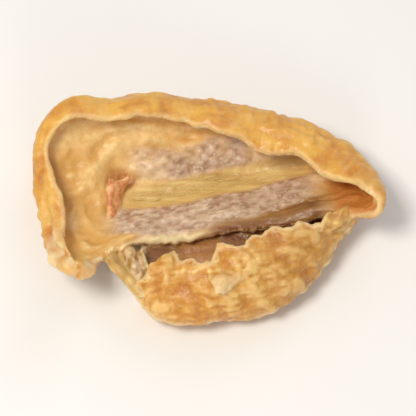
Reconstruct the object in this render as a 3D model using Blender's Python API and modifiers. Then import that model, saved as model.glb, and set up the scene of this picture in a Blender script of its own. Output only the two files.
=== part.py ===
"""One lengthwise slice of dried persimmon, curled inwards all round by drying and lying on its back.

The slice is one piece of flesh in two layers that split along a tear: the plate, which is the dished floor
with its rolled rim, and the lip, the lower layer that runs out from under the torn edge and folds up over it.
"""

import math

import bmesh
import bpy
import numpy as np

# Lengths are in millimetres and angles in degrees. The mesh is written in metres.
MM = 0.001

# The plan is measured from the middle of the floor. The flesh fibres run at this angle to X.
FIBRE_ANGLE = 11.7

# The plate's outline, anticlockwise from the right end. Each row is the plan point furthest out, then how
# the rim rolls there: x, y, radius of the roll, angle it turns through, straight flesh left after it.
PLATE_RIM = [
    (29.7, -4.4, 2.8, 155.0, 1.9),
    (28.2, 1.0, 3.1, 172.0, 3.2),
    (24.9, 5.5, 3.3, 178.0, 4.2),
    (19.8, 9.3, 3.6, 182.0, 4.2),
    (12.9, 11.9, 3.6, 180.0, 5.0),
    (5.0, 13.4, 3.5, 175.0, 3.8),
    (-2.9, 14.1, 3.3, 172.0, 2.8),
    (-10.7, 14.0, 3.1, 172.0, 2.4),
    (-17.9, 13.3, 3.0, 172.0, 2.6),
    (-24.2, 11.9, 2.9, 172.0, 2.0),
    (-28.8, 8.2, 2.7, 168.0, 1.9),
    (-29.8, 2.1, 2.7, 165.0, 2.1),
    (-29.0, -4.3, 2.7, 165.0, 2.4),
    (-27.4, -10.2, 2.7, 165.0, 2.2),
    (-26.2, -15.8, 2.6, 155.0, 1.5),
    (-21.7, -20.6, 2.2, 100.0, 0.8),
    (-18.4, -15.4, 2.0, 25.0, 0.5),
    (-12.4, -11.0, 2.0, 8.0, 0.5),
    (-4.3, -9.8, 2.0, 6.0, 0.5),
    (3.6, -8.9, 2.0, 6.0, 0.5),
    (11.4, -7.6, 2.0, 6.0, 0.5),
    (18.2, -6.8, 2.0, 10.0, 0.5),
    (23.6, -7.5, 2.0, 16.0, 0.6),
    (28.0, -9.8, 2.2, 82.0, 0.8),
]
PLATE_THICKNESS = 2.1
PLATE_EDGE_SHARE = 0.5
PLATE_THINS_FROM = 0.8
FLOOR_HEIGHT = 1.15
FLOOR_RISE_TO_TEAR = 3.3
FLOOR_RISE_TO_RIM = 2.8
FLOOR_HALF_WIDTH = 9.0
END_RISE = 1.8
END_REACH = 22.0

# The lip's outline from its left tip to where it runs into the plate's right end, in the same columns.
LIP_RIM = [
    (-12.6, -18.4, 3.0, 100.0, 2.0),
    (-10.4, -22.4, 3.4, 135.0, 4.5),
    (-5.7, -24.8, 3.8, 150.0, 7.0),
    (0.0, -25.3, 4.0, 152.0, 5.6),
    (5.7, -24.6, 4.0, 152.0, 6.6),
    (10.4, -22.8, 4.0, 152.0, 7.8),
    (14.4, -20.2, 3.8, 150.0, 7.8),
    (17.8, -16.8, 3.6, 145.0, 6.4),
    (20.8, -13.0, 3.2, 135.0, 4.8),
    (23.6, -9.4, 2.8, 115.0, 2.6),
    (26.0, -6.2, 2.6, 75.0, 1.0),
]
LIP_THICKNESS = 1.8
LIP_EDGE_SHARE = 0.5
LIP_THINS_FROM = 0.7
LIP_FLOOR_HEIGHT = 1.0
LIP_JOIN_ACROSS = -2.2
LIP_JOIN_ENDS = (-15.0, 19.0)
LIP_JOIN_HEIGHT = 1.4

# How the sheets are divided. The plate's rows close in on its middle, and its roll takes this share of the
# way out, where it is this long or longer.
PLATE_MIDDLE = (-8.0, 4.0)
PLATE_ROWS = 19
PLATE_COLUMNS = 112
PLATE_ROLL_SHARE = 0.46
LONG_ROLL = 12.0
LEAST_ROLL = 0.05
LIP_ROWS = 19
LIP_COLUMNS = 35
LIP_ROLL_START = 0.38
EVENING_ROUNDS = 400
SMOOTHING_ROUNDS = 4
MERGE_DISTANCE = 0.001

# The slice stands on a flat spot, made by pressing it this far into the surface that it dried on. The block
# that stands for that surface is wider than the slice by this factor.
PRESSED = 0.45
SURFACE_DEPTH = 4.0
SURFACE_SPREAD = 1.2

FLESH_COLOUR = (0.72, 0.40, 0.13, 1.0)
FLESH_ROUGHNESS = 0.5


def through_closed(rows, count):
    """A smooth closed curve through the rows, at count even steps."""
    rows = np.array(rows)
    n = len(rows)
    step = np.eye(n)
    system = 4 * step + np.roll(step, 1, 0) + np.roll(step, -1, 0)
    bend = np.linalg.solve(system, 6 * (np.roll(rows, -1, 0) - 2 * rows + np.roll(rows, 1, 0)))
    return along_spline(rows, bend, np.arange(count) * n / count)


def through_open(rows, places):
    """A smooth open curve through the rows, at places from 0 to 1 along it."""
    rows = np.array(rows)
    n = len(rows)
    system = np.eye(n)
    pull = np.zeros_like(rows)
    for i in range(1, n - 1):
        system[i, i - 1 : i + 2] = (1, 4, 1)
        pull[i] = 6 * (rows[i + 1] - 2 * rows[i] + rows[i - 1])
    return along_spline(rows, np.linalg.solve(system, pull), places * (n - 1))


def along_spline(rows, bend, at):
    """Points of the cubic spline with these second derivatives, at knot positions at."""
    low = np.floor(at).astype(int)
    b = (at - low)[:, None]
    a = 1 - b
    low = low % len(rows)
    high = (low + 1) % len(rows)
    return a * rows[low] + b * rows[high] + ((a**3 - a) * bend[low] + (b**3 - b) * bend[high]) / 6


def roll(s, radius, turn):
    """How far out and up flesh lies, s along it, that bends at radius through turn and then runs straight."""
    bent = radius * turn
    angle = np.clip(s, 0, bent) / radius
    tail = np.maximum(s - bent, 0)
    out = radius * np.sin(angle) + tail * np.cos(turn) + np.minimum(s, 0)
    up = radius * (1 - np.cos(angle)) + tail * np.sin(turn)
    return out, up


def reach_of_roll(radius, turn, tail):
    """How far out the roll goes before it turns back."""
    return np.where(turn < math.pi / 2, radius * np.sin(turn) + tail * np.cos(turn), radius)


def outward(points, closed):
    """Unit plan vectors that point to the right of the way along the points."""
    if closed:
        way = np.roll(points, -1, 0) - np.roll(points, 1, 0)
    else:
        way = np.gradient(points, axis=0)
    normal = np.stack([way[:, 1], -way[:, 0]], 1)
    return normal / np.linalg.norm(normal, axis=1, keepdims=True)


def along_and_across(x, y):
    """Plan coordinates turned to run along and across the fibres."""
    c, s = math.cos(math.radians(FIBRE_ANGLE)), math.sin(math.radians(FIBRE_ANGLE))
    return x * c + y * s, y * c - x * s


def from_along_and_across(along, across):
    c, s = math.cos(math.radians(FIBRE_ANGLE)), math.sin(math.radians(FIBRE_ANGLE))
    return along * c - across * s, along * s + across * c


def end_rise(along):
    return END_RISE * (along / END_REACH) ** 2


def floor_height(x, y):
    """The plate's middle surface is a trough along the fibres, lifted at the tear and under the top rim."""
    along, across = along_and_across(x, y)
    rise = np.where(across < 0, FLOOR_RISE_TO_TEAR, FLOOR_RISE_TO_RIM)
    return FLOOR_HEIGHT + rise * (across / FLOOR_HALF_WIDTH) ** 2 + end_rise(along)


def wavy(points):
    """Adds the slow buckling of flesh that shrank unevenly."""
    x, y, z = np.moveaxis(points, -1, 0)
    aside = 0.45 * np.sin(0.31 * y + 0.9) * np.sin(0.35 * z + 0.3)
    forward = 0.55 * np.sin(0.33 * x + 0.4) * np.sin(0.30 * z + 0.2)
    lift = 0.35 * np.sin(0.29 * x + 2.1) * np.cos(0.24 * y) + 0.05 * z * np.sin(0.47 * x + 0.6)
    return points + np.stack([aside, forward, lift], -1)


def beside(grid, closed):
    """The grid one step back and one step on along its columns. Closed ones meet at the ends."""
    if closed:
        return np.roll(grid, 1, 1), np.roll(grid, -1, 1)
    return np.concatenate([grid[:, :1], grid[:, :-1]], 1), np.concatenate([grid[:, 1:], grid[:, -1:]], 1)


def evened(plan, moving):
    """Spreads the moving points of a closed grid evenly between those that stay."""
    for _ in range(EVENING_ROUNDS):
        back, on = beside(plan, closed=True)
        aim = (back[1:-1] + on[1:-1] + plan[:-2] + plan[2:]) / 4
        plan[1:-1] = np.where(moving[1:-1, :, None], aim, plan[1:-1])
        plan[0] = plan[1].mean(0)
    return plan


def softened(points, closed):
    """Takes the sharp bends out of a grid of points. Its edges only move along themselves."""
    for _ in range(SMOOTHING_ROUNDS):
        back, on = beside(points, closed)
        aim = (back + on) / 2
        aim[1:-1] = (aim[1:-1] + (points[:-2] + points[2:]) / 2) / 2
        if closed:
            aim[0] = points[1].mean(0)
        points = (points + aim) / 2
    return points


def plate():
    """The plate's grid: rows go from its middle to its edge, and columns once round, anticlockwise."""
    rim = through_closed(PLATE_RIM, PLATE_COLUMNS)
    radius, turn, tail = rim[:, 2], np.radians(rim[:, 3]), rim[:, 4]
    normal = outward(rim[:, :2], closed=True)
    base = rim[:, :2] - normal * reach_of_roll(radius, turn, tail)[:, None]
    length = radius * turn + tail

    ring = np.linspace(0, 1, PLATE_ROWS)[:, None]
    start = 1 - PLATE_ROLL_SHARE * np.clip(length / LONG_ROLL, LEAST_ROLL, 1)
    inner = np.clip(ring / start, 0, 1)
    outer = np.clip((ring - start) / (1 - start), 0, 1)
    out, up = roll(outer * length, radius, turn)
    floor = evened(PLATE_MIDDLE + (base - PLATE_MIDDLE) * inner[..., None], ring < start)
    plan = floor + normal * out[..., None]
    height = floor_height(floor[..., 0], floor[..., 1]) + up
    points = softened(wavy(np.dstack([plan, height])), closed=True)
    edge = np.clip((ring - PLATE_THINS_FROM) / (1 - PLATE_THINS_FROM), 0, 1) * np.ones_like(radius)
    return sheet("plate_sheet", points, 1 - (1 - PLATE_EDGE_SHARE) * edge**2, closed=True)


def lip():
    """The lip's grid: rows go from where it leaves the plate to its torn edge, columns from left to right."""
    along = np.linspace(0, 1, LIP_COLUMNS)
    rim = through_open(LIP_RIM, along)
    radius, turn, tail = rim[:, 2], np.radians(rim[:, 3]), rim[:, 4]
    normal = outward(rim[:, :2], closed=False)
    base = rim[:, :2] - normal * reach_of_roll(radius, turn, tail)[:, None]
    start, end = LIP_JOIN_ENDS
    join = np.column_stack(from_along_and_across(start + (end - start) * along, LIP_JOIN_ACROSS))

    ring = np.linspace(0, 1, LIP_ROWS)[:, None]
    inner = np.clip(ring / LIP_ROLL_START, 0, 1)
    outer = np.clip((ring - LIP_ROLL_START) / (1 - LIP_ROLL_START), 0, 1)
    out, up = roll(outer * (radius * turn + tail), radius, turn)
    floor = join + (base - join) * inner[..., None]
    plan = floor + normal * out[..., None]
    fibre_along, _ = along_and_across(floor[..., 0], floor[..., 1])
    height = LIP_JOIN_HEIGHT + (LIP_FLOOR_HEIGHT - LIP_JOIN_HEIGHT) * inner + end_rise(fibre_along) + up
    points = softened(wavy(np.dstack([plan, height])), closed=False)
    edge = np.clip((ring - LIP_THINS_FROM) / (1 - LIP_THINS_FROM), 0, 1) * np.ones_like(radius)
    return sheet("lip_sheet", points, 1 - (1 - LIP_EDGE_SHARE) * edge**2, closed=False)


def sheet(name, points, share, closed):
    """An open surface through a grid of points, which also holds each point's share of the thickness."""
    if closed:
        points = np.concatenate([points, points[:, :1]], 1)
        share = np.concatenate([share, share[:, :1]], 1)
    rows, columns = share.shape
    bm = bmesh.new()
    bmesh.ops.create_grid(bm, x_segments=columns - 1, y_segments=rows - 1, size=1)
    weights = bm.verts.layers.deform.verify()
    for vertex, place, weight in zip(bm.verts, points.reshape(-1, 3) * MM, share.ravel()):
        vertex.co = place
        vertex[weights][0] = weight
    bmesh.ops.remove_doubles(bm, verts=bm.verts, dist=MERGE_DISTANCE * MM)
    mesh = bpy.data.meshes.new(name)
    bm.to_mesh(mesh)
    bm.free()
    obj = bpy.data.objects.new(name, mesh)
    obj.vertex_groups.new(name="thickness")
    return obj


def thicken(obj, thickness):
    """Grows the sheet both ways from its middle surface, by its thickness group."""
    shell = obj.modifiers.new("flesh", "SOLIDIFY")
    shell.thickness = thickness * MM
    shell.offset = 0
    shell.vertex_group = "thickness"
    return obj


def solid_mesh(obj):
    """The object's mesh with its modifiers worked out."""
    graph = bpy.context.evaluated_depsgraph_get()
    return bpy.data.meshes.new_from_object(obj.evaluated_get(graph))


def join_and_press(plate_solid, lip_solid, parts, cutters):
    """Grows the lip to the plate, then flattens the spot that the slice stands on."""
    lip_solid.hide_render = True
    lip_solid.display_type = "WIRE"
    grown = plate_solid.modifiers.new("lip_grown_on", "BOOLEAN")
    grown.operation = "UNION"
    grown.object = lip_solid
    bpy.context.view_layer.update()
    mesh = solid_mesh(plate_solid)
    places = np.empty(len(mesh.vertices) * 3)
    mesh.vertices.foreach_get("co", places)
    places = places.reshape(-1, 3)
    low, high = places.min(0), places.max(0)
    places -= [(low[0] + high[0]) / 2, (low[1] + high[1]) / 2, low[2] + PRESSED * MM]
    mesh.vertices.foreach_set("co", places.ravel())
    flesh = bpy.data.objects.new("persimmon_slice", mesh)
    parts.objects.link(flesh)

    width, length = (high - low)[:2] * SURFACE_SPREAD
    depth = SURFACE_DEPTH * MM
    bm = bmesh.new()
    bmesh.ops.create_cube(bm, size=1)
    bmesh.ops.scale(bm, vec=(width, length, depth), verts=bm.verts)
    bmesh.ops.translate(bm, vec=(0, 0, -depth / 2), verts=bm.verts)
    surface_mesh = bpy.data.meshes.new("drying_surface")
    bm.to_mesh(surface_mesh)
    bm.free()
    surface = bpy.data.objects.new("drying_surface", surface_mesh)
    surface.hide_render = True
    surface.display_type = "WIRE"
    cutters.objects.link(surface)
    pressed = flesh.modifiers.new("pressed_flat", "BOOLEAN")
    pressed.operation = "DIFFERENCE"
    pressed.object = surface
    return flesh


def flesh_material():
    material = bpy.data.materials.new("dried_flesh")
    material.use_nodes = True
    shader = material.node_tree.nodes["Principled BSDF"]
    shader.inputs["Base Color"].default_value = FLESH_COLOUR
    shader.inputs["Roughness"].default_value = FLESH_ROUGHNESS
    shader.inputs["Metallic"].default_value = 0.0
    return material


def main():
    for obj in list(bpy.data.objects):
        bpy.data.objects.remove(obj)
    parts = bpy.data.collections.new("dried_persimmon")
    cutters = bpy.data.collections.new("cutters")
    for collection in (parts, cutters):
        bpy.context.scene.collection.children.link(collection)
    plate_solid = thicken(plate(), PLATE_THICKNESS)
    lip_solid = thicken(lip(), LIP_THICKNESS)
    cutters.objects.link(plate_solid)
    cutters.objects.link(lip_solid)
    flesh = join_and_press(plate_solid, lip_solid, parts, cutters)
    flesh.data.materials.append(flesh_material())
    flesh.data.shade_smooth()
    bpy.data.objects.remove(plate_solid)
    bpy.data.objects.remove(lip_solid)


main()
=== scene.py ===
"""The look of one lengthwise slice of dried persimmon, curled inwards by drying and lying on its back.

Shapes are worked out in millimetres, from the middle of the slice's floor, and meshes are written in metres.
"""

import itertools
import math

import bpy
import numpy as np
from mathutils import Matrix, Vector, kdtree


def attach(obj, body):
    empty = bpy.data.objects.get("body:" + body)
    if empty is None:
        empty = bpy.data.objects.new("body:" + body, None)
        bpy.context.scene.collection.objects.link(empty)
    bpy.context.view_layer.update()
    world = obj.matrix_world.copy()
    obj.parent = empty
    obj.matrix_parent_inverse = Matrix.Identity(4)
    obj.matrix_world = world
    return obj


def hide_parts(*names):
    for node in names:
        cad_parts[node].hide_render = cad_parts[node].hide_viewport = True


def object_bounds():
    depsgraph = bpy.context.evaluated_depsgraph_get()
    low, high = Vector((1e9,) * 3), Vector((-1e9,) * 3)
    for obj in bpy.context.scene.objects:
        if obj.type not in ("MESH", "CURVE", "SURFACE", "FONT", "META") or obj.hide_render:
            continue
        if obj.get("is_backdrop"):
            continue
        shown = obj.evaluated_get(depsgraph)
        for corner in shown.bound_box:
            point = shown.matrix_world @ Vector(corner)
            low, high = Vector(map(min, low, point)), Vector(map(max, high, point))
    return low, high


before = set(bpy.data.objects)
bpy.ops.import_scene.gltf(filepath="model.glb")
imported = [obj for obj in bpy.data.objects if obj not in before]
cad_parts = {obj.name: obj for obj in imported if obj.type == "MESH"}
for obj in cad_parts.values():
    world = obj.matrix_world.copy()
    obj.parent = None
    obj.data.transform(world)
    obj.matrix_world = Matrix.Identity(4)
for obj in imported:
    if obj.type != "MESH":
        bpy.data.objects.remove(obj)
cad_low, cad_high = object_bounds()

# The plate: the main layer of the slice, cut lengthwise through the fruit. Its floor dried to a dished sheet,
# and the juicier flesh round it shrank more, so the rim rolled up and over the floor.
MM = 0.001
FIBRE_ANGLE = 11.7
FIBRE_WAY = (math.cos(math.radians(FIBRE_ANGLE)), math.sin(math.radians(FIBRE_ANGLE)))

# From the middle of the floor, where the outlines are measured, to the middle of the slice's footprint.
TO_FRAME = (0.1013, 5.6253, -0.5278)

# Each row is the plan point furthest out, anticlockwise from the right end, then how the rim rolls there:
# x, y, radius of the roll, angle that it turns through in degrees, straight flesh left after it.
PLATE_RIM = [
    (29.7, -4.4, 2.8, 155.0, 1.9),
    (28.2, 1.0, 3.1, 172.0, 3.2),
    (24.9, 5.5, 3.3, 178.0, 4.2),
    (19.8, 9.3, 3.6, 182.0, 4.2),
    (12.9, 11.9, 3.6, 180.0, 5.0),
    (5.0, 13.4, 3.5, 175.0, 3.8),
    (-2.9, 14.1, 3.3, 172.0, 2.8),
    (-10.7, 14.0, 3.1, 172.0, 2.4),
    (-17.9, 13.3, 3.0, 172.0, 2.6),
    (-24.2, 11.9, 2.9, 172.0, 2.0),
    (-28.8, 8.2, 2.7, 168.0, 1.9),
    (-29.8, 2.1, 2.7, 165.0, 2.1),
    (-29.0, -4.3, 2.7, 165.0, 2.4),
    (-27.4, -10.2, 2.7, 165.0, 2.2),
    (-26.2, -15.8, 2.6, 155.0, 1.5),
    (-21.7, -20.6, 2.2, 100.0, 0.8),
    (-18.4, -15.4, 2.0, 25.0, 0.5),
    (-12.4, -11.0, 2.0, 8.0, 0.5),
    (-4.3, -9.8, 2.0, 6.0, 0.5),
    (3.6, -8.9, 2.0, 6.0, 0.5),
    (11.4, -7.6, 2.0, 6.0, 0.5),
    (18.2, -6.8, 2.0, 10.0, 0.5),
    (23.6, -7.5, 2.0, 16.0, 0.6),
    (28.0, -9.8, 2.2, 82.0, 0.8),
]
PLATE_MIDDLE = (-8.0, 4.0)
PLATE_THICKNESS = 2.1
PLATE_DIVISIONS = (19, 112)
PLATE_FINE_DIVISIONS = (150, 600)
PLATE_ROLL_SHARE = 0.46
LONG_ROLL = 12.0
LEAST_ROLL = 0.05
FLOOR_HEIGHT = 1.15
FLOOR_RISE_TO_TEAR = 3.3
FLOOR_RISE_TO_RIM = 2.8
FLOOR_HALF_WIDTH = 9.0
END_RISE = 1.8
END_REACH = 22.0
EVENING_ROUNDS = 400
SMOOTHING_ROUNDS = 4
EDGE_SHARE = 0.5
EDGE_THINS_FROM = 0.8


def along_spline(rows, bend, at):
    """Points of the cubic spline with these second derivatives, at knot positions at."""
    low = np.floor(at).astype(int)
    after = (at - low)[:, None]
    before = 1 - after
    low = low % len(rows)
    high = (low + 1) % len(rows)
    bulge = (before**3 - before) * bend[low] + (after**3 - after) * bend[high]
    return before * rows[low] + after * rows[high] + bulge / 6


def through_closed(rows, count):
    """A smooth closed curve through the rows, at count even steps."""
    rows = np.array(rows)
    own = np.eye(len(rows))
    system = 4 * own + np.roll(own, 1, 0) + np.roll(own, -1, 0)
    bend = np.linalg.solve(system, 6 * (np.roll(rows, -1, 0) - 2 * rows + np.roll(rows, 1, 0)))
    return along_spline(rows, bend, np.arange(count) * len(rows) / count)


def through_open(rows, count):
    """A smooth open curve through the rows, at count even steps."""
    rows = np.array(rows)
    system = np.eye(len(rows))
    pull = np.zeros_like(rows)
    for i in range(1, len(rows) - 1):
        system[i, i - 1 : i + 2] = (1, 4, 1)
        pull[i] = 6 * (rows[i + 1] - 2 * rows[i] + rows[i - 1])
    return along_spline(rows, np.linalg.solve(system, pull), np.linspace(0, len(rows) - 1, count))


def roll(travel, radius, turn):
    """How far out and up flesh lies after this travel, where it bends through turn and then runs straight."""
    bent = radius * turn
    angle = np.clip(travel, 0, bent) / radius
    tail = np.maximum(travel - bent, 0)
    out = radius * np.sin(angle) + tail * np.cos(turn) + np.minimum(travel, 0)
    return out, radius * (1 - np.cos(angle)) + tail * np.sin(turn)


def rolled_rim(rim, closed):
    """Plan points where the flesh starts to roll, the way out from them, and the sizes of the roll."""
    radius, turn, tail = rim[:, 2], np.radians(rim[:, 3]), rim[:, 4]
    way = np.roll(rim, -1, 0) - np.roll(rim, 1, 0) if closed else np.gradient(rim, axis=0)
    normal = np.stack([way[:, 1], -way[:, 0]], 1)
    normal /= np.linalg.norm(normal, axis=1, keepdims=True)
    reach = np.where(turn < math.pi / 2, radius * np.sin(turn) + tail * np.cos(turn), radius)
    return rim[:, :2] - normal * reach[:, None], normal, radius, turn, radius * turn + tail


def along_and_across(x, y):
    """Plan coordinates turned to run along and across the fibres."""
    cosine, sine = FIBRE_WAY
    return x * cosine + y * sine, y * cosine - x * sine


def floor_height(x, y):
    """The floor is a trough along the fibres, lifted at the tear and under the top rim."""
    along, across = along_and_across(x, y)
    rise = np.where(across < 0, FLOOR_RISE_TO_TEAR, FLOOR_RISE_TO_RIM)
    return FLOOR_HEIGHT + rise * (across / FLOOR_HALF_WIDTH) ** 2 + END_RISE * (along / END_REACH) ** 2


def wavy(points):
    """Adds the slow buckling of flesh that shrank unevenly, in waves 13 to 26 mm long."""
    x, y, z = np.moveaxis(points, -1, 0)
    aside = 0.45 * np.sin(0.31 * y + 0.9) * np.sin(0.35 * z + 0.3)
    forward = 0.55 * np.sin(0.33 * x + 0.4) * np.sin(0.30 * z + 0.2)
    lift = 0.35 * np.sin(0.29 * x + 2.1) * np.cos(0.24 * y) + 0.05 * z * np.sin(0.47 * x + 0.6)
    return points + np.stack([aside, forward, lift], -1)


def beside(grid, closed):
    """The grid one step back and one step on along its columns. Closed ones meet at the ends."""
    if closed:
        return np.roll(grid, 1, 1), np.roll(grid, -1, 1)
    return np.concatenate([grid[:, :1], grid[:, :-1]], 1), np.concatenate([grid[:, 1:], grid[:, -1:]], 1)


def softened(points, closed):
    """Takes the sharp bends out of a grid of points. Its edges only move along themselves."""
    for _ in range(SMOOTHING_ROUNDS):
        back, on = beside(points, closed)
        aim = (back + on) / 2
        aim[1:-1] = (aim[1:-1] + (points[:-2] + points[2:]) / 2) / 2
        if closed:
            aim[0] = points[1].mean(0)
        points = (points + aim) / 2
    return points


def refined(grid, divisions, closed):
    """The same surface through more points, with whatever else the grid carries."""
    rows, columns = divisions
    longer = through_open(grid.reshape(len(grid), -1), rows).reshape(rows, grid.shape[1], -1)
    across = longer.swapaxes(0, 1).reshape(grid.shape[1], -1)
    fine = through_closed(across, columns) if closed else through_open(across, columns)
    return fine.reshape(columns, rows, -1).swapaxes(0, 1)


rows, columns = PLATE_DIVISIONS
base, normal, radius, turn, length = rolled_rim(through_closed(PLATE_RIM, columns), closed=True)
ring = np.linspace(0, 1, rows)[:, None]
start = 1 - PLATE_ROLL_SHARE * np.clip(length / LONG_ROLL, LEAST_ROLL, 1)
travel = np.clip((ring - start) / (1 - start), 0, 1) * length
floor = PLATE_MIDDLE + (base - PLATE_MIDDLE) * np.clip(ring / start, 0, 1)[..., None]
for _ in range(EVENING_ROUNDS):
    back, on = beside(floor, closed=True)
    even = (back[1:-1] + on[1:-1] + floor[:-2] + floor[2:]) / 4
    floor[1:-1] = np.where((ring < start)[1:-1, :, None], even, floor[1:-1])
    floor[0] = floor[1].mean(0)
out, up = roll(travel, radius, turn)
height = floor_height(floor[..., 0], floor[..., 1]) + up
plate = softened(wavy(np.dstack([floor + normal * out[..., None], height])), closed=True)
plate = refined(np.dstack([plate + TO_FRAME, floor, travel]), PLATE_FINE_DIVISIONS, closed=True)

# The lip: a second layer that split from the plate along the lower edge as the slice dried. It runs out from
# under the plate's torn edge, folds up, and its own torn edge stands over the gap.
LIP_RIM = [
    (-12.6, -18.4, 3.0, 100.0, 2.0),
    (-10.4, -22.4, 3.4, 135.0, 4.5),
    (-5.7, -24.8, 3.8, 150.0, 7.0),
    (0.0, -25.3, 4.0, 152.0, 5.6),
    (5.7, -24.6, 4.0, 152.0, 6.6),
    (10.4, -22.8, 4.0, 152.0, 7.8),
    (14.4, -20.2, 3.8, 150.0, 7.8),
    (17.8, -16.8, 3.6, 145.0, 6.4),
    (20.8, -13.0, 3.2, 135.0, 4.8),
    (23.6, -9.4, 2.8, 115.0, 2.6),
    (26.0, -6.2, 2.6, 75.0, 1.0),
]
LIP_THICKNESS = 1.8
LIP_DIVISIONS = (19, 35)
LIP_FINE_DIVISIONS = (110, 200)
LIP_ROLL_START = 0.38
LIP_FLOOR_HEIGHT = 1.0
LIP_JOIN_ACROSS = -2.2
LIP_JOIN_ENDS = (-15.0, 19.0)
LIP_JOIN_HEIGHT = 1.4

rows, columns = LIP_DIVISIONS
base, normal, radius, turn, length = rolled_rim(through_open(LIP_RIM, columns), closed=False)
along = np.linspace(*LIP_JOIN_ENDS, columns)
cosine, sine = FIBRE_WAY
join = np.column_stack([along * cosine - LIP_JOIN_ACROSS * sine, along * sine + LIP_JOIN_ACROSS * cosine])
ring = np.linspace(0, 1, rows)[:, None]
inner = np.clip(ring / LIP_ROLL_START, 0, 1)
travel = np.clip((ring - LIP_ROLL_START) / (1 - LIP_ROLL_START), 0, 1) * length
floor = join + (base - join) * inner[..., None]
out, up = roll(travel, radius, turn)
lift = END_RISE * (along_and_across(floor[..., 0], floor[..., 1])[0] / END_REACH) ** 2
height = LIP_JOIN_HEIGHT + (LIP_FLOOR_HEIGHT - LIP_JOIN_HEIGHT) * inner + lift + up
lip = softened(wavy(np.dstack([floor + normal * out[..., None], height])), closed=False)
lip = refined(np.dstack([lip + TO_FRAME, floor, travel]), LIP_FINE_DIVISIONS, closed=False)

# The torn edges: the flesh tore between its fibres, so both edges are ragged, and the lip's reaches back over
# the gap in a few long points. The rolled rim's edge was cut, so it only waves.

# Where round the plate, from 0 to 1, its edge is torn, where the tear is roughest, and where the rolled flesh
# is narrower than the rim rows say, and by how much.
PLATE_TEAR = (0.70, 0.93)
PLATE_TEAR_ROUGH = (0.80, 0.86)
LEFT_RIM = (0.425, 0.58)
LEFT_RIM_NARROWER = 1.7
RIGHT_END = (0.925, 0.985)
RIGHT_END_NARROWER = 1.4

# How far the lip's edge reaches out, how much of that it droops, and how much is torn off its left side.
LIP_REACH = 1.5
LIP_DROOP = 0.5
LIP_SIDE_TORN = 0.6

# Each point of the lip's edge: where it stands, how far it reaches past the rest, and its half width.
LIP_POINTS = [(-9.3, 10.6, 4.2), (3.1, 3.9, 2.2), (8.2, 1.6, 1.2), (12.0, 2.2, 1.9), (16.6, 1.3, 1.2)]


def noise(points, size, seed):
    """Smooth noise from -1 to 1 at points, with lumps of this size."""
    cells = np.random.default_rng(seed).uniform(-1, 1, (64, 64, 64))
    at = points / size
    low = np.floor(at).astype(int)
    part = at - low
    part = part * part * (3 - 2 * part)
    total = np.zeros(points.shape[:-1])
    for corner in itertools.product((0, 1), repeat=3):
        weight = np.prod(np.where(corner, part, 1 - part), axis=-1)
        i, j, k = np.moveaxis((low + corner) % 64, -1, 0)
        total += weight * cells[i, j, k]
    return total


def lumps(points, *layers):
    """Noises added up. Each layer is its height, the size of its lumps and its seed."""
    return sum(height * noise(points, size, seed) for height, size, seed in layers)


def hills(points, *layers):
    """Noises folded up where they cross 0, which gives rounded hills with creases between them."""
    return sum(height * np.abs(noise(points, size, seed)) for height, size, seed in layers)


def on_sheet(first, second):
    """Coordinates for noise on a sheet, from two lengths divided by the size of their lumps."""
    first, second = np.broadcast_arrays(first, second)
    return np.dstack([first, second, np.zeros_like(first)])


def step(value, low, high):
    """Runs smoothly from 0 at low to 1 at high."""
    t = np.clip((value - low) / (high - low), 0, 1)
    return t * t * (3 - 2 * t)


def band(value, limits, soft):
    """1 between the two limits, with a soft change at each."""
    low, high = limits
    return step(value, low - soft, low + soft) * (1 - step(value, high - soft, high + soft))


def trimmed(grid, cut):
    """The grid with this many millimetres cut off the end of each column, or added where cut is negative."""
    rows = len(grid)
    lengths = np.linalg.norm(np.diff(grid[..., :3], axis=0), axis=-1).sum(0)
    ring = np.linspace(0, 1, rows)[:, None]
    at = (rows - 1) * ring * (1 - cut / lengths * ring**3)
    low = np.clip(np.floor(at).astype(int), 0, rows - 2)
    part = (at - low)[..., None]
    columns = np.arange(grid.shape[1])
    return grid[low, columns] * (1 - part) + grid[low + 1, columns] * part


around = np.arange(plate.shape[1]) / plate.shape[1]
torn = band(around, PLATE_TEAR, 0.02)
edge = plate[-1, :, :3]
ragged = lumps(edge, (0.5, 2.4, 1), (0.45, 0.8, 2)) * (0.4 + 0.6 * step(around, *PLATE_TEAR_ROUGH))
waved = lumps(edge, (1.0, 5.0, 3), (0.35, 2.0, 4)) + LEFT_RIM_NARROWER * band(around, LEFT_RIM, 0.025)
waved += RIGHT_END_NARROWER * band(around, RIGHT_END, 0.012)
plate = trimmed(plate, ragged * torn + waved * (1 - torn))
edge = lip[-1, :, :3]
reach = LIP_REACH - lumps(edge, (0.7, 2.6, 5), (0.8, 0.9, 6))
for place, past, half_width in LIP_POINTS:
    reach += past * np.clip(1 - np.abs(edge[:, 0] - place) / half_width, 0, 1) ** 0.8
lip = trimmed(lip, -reach)
ring = np.linspace(0, 1, len(lip))[:, None]
lip[..., 2] -= LIP_DROOP * np.maximum(reach, 0) * step(ring, 0.85, 1.0)
torn_off = LIP_SIDE_TORN + lumps(lip[:, 0, :3], (0.9, 2.6, 7))
lip = trimmed(lip[:, ::-1].swapaxes(0, 1), torn_off).swapaxes(0, 1)[:, ::-1]

# The plate's cut face: the middle of the fruit. Two seed chambers run along it as swollen, grainy bands with
# the sunken fibrous core between them, and round them the smooth wall rises to the rim.

# Where each band lies across the fibres, and how far it swells or sinks.
SEED_BAND_TOP = (4.3, 9.6)
SEED_BAND_LOW = (-7.6, -0.7)
CORE_BAND = (-0.5, 4.1)
TOP_SWELLS = 0.35
LOW_SWELLS = 0.50
CORE_SINKS = 0.30

# Where across the fibres the top wall is painted lighter against the rim's shade, and where along them the
# left wall is painted darker as shade.
TOP_WALL_LIT = (9.0, 12.0)
LEFT_WALL_SHADED = (-23.0, -15.0)

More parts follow.
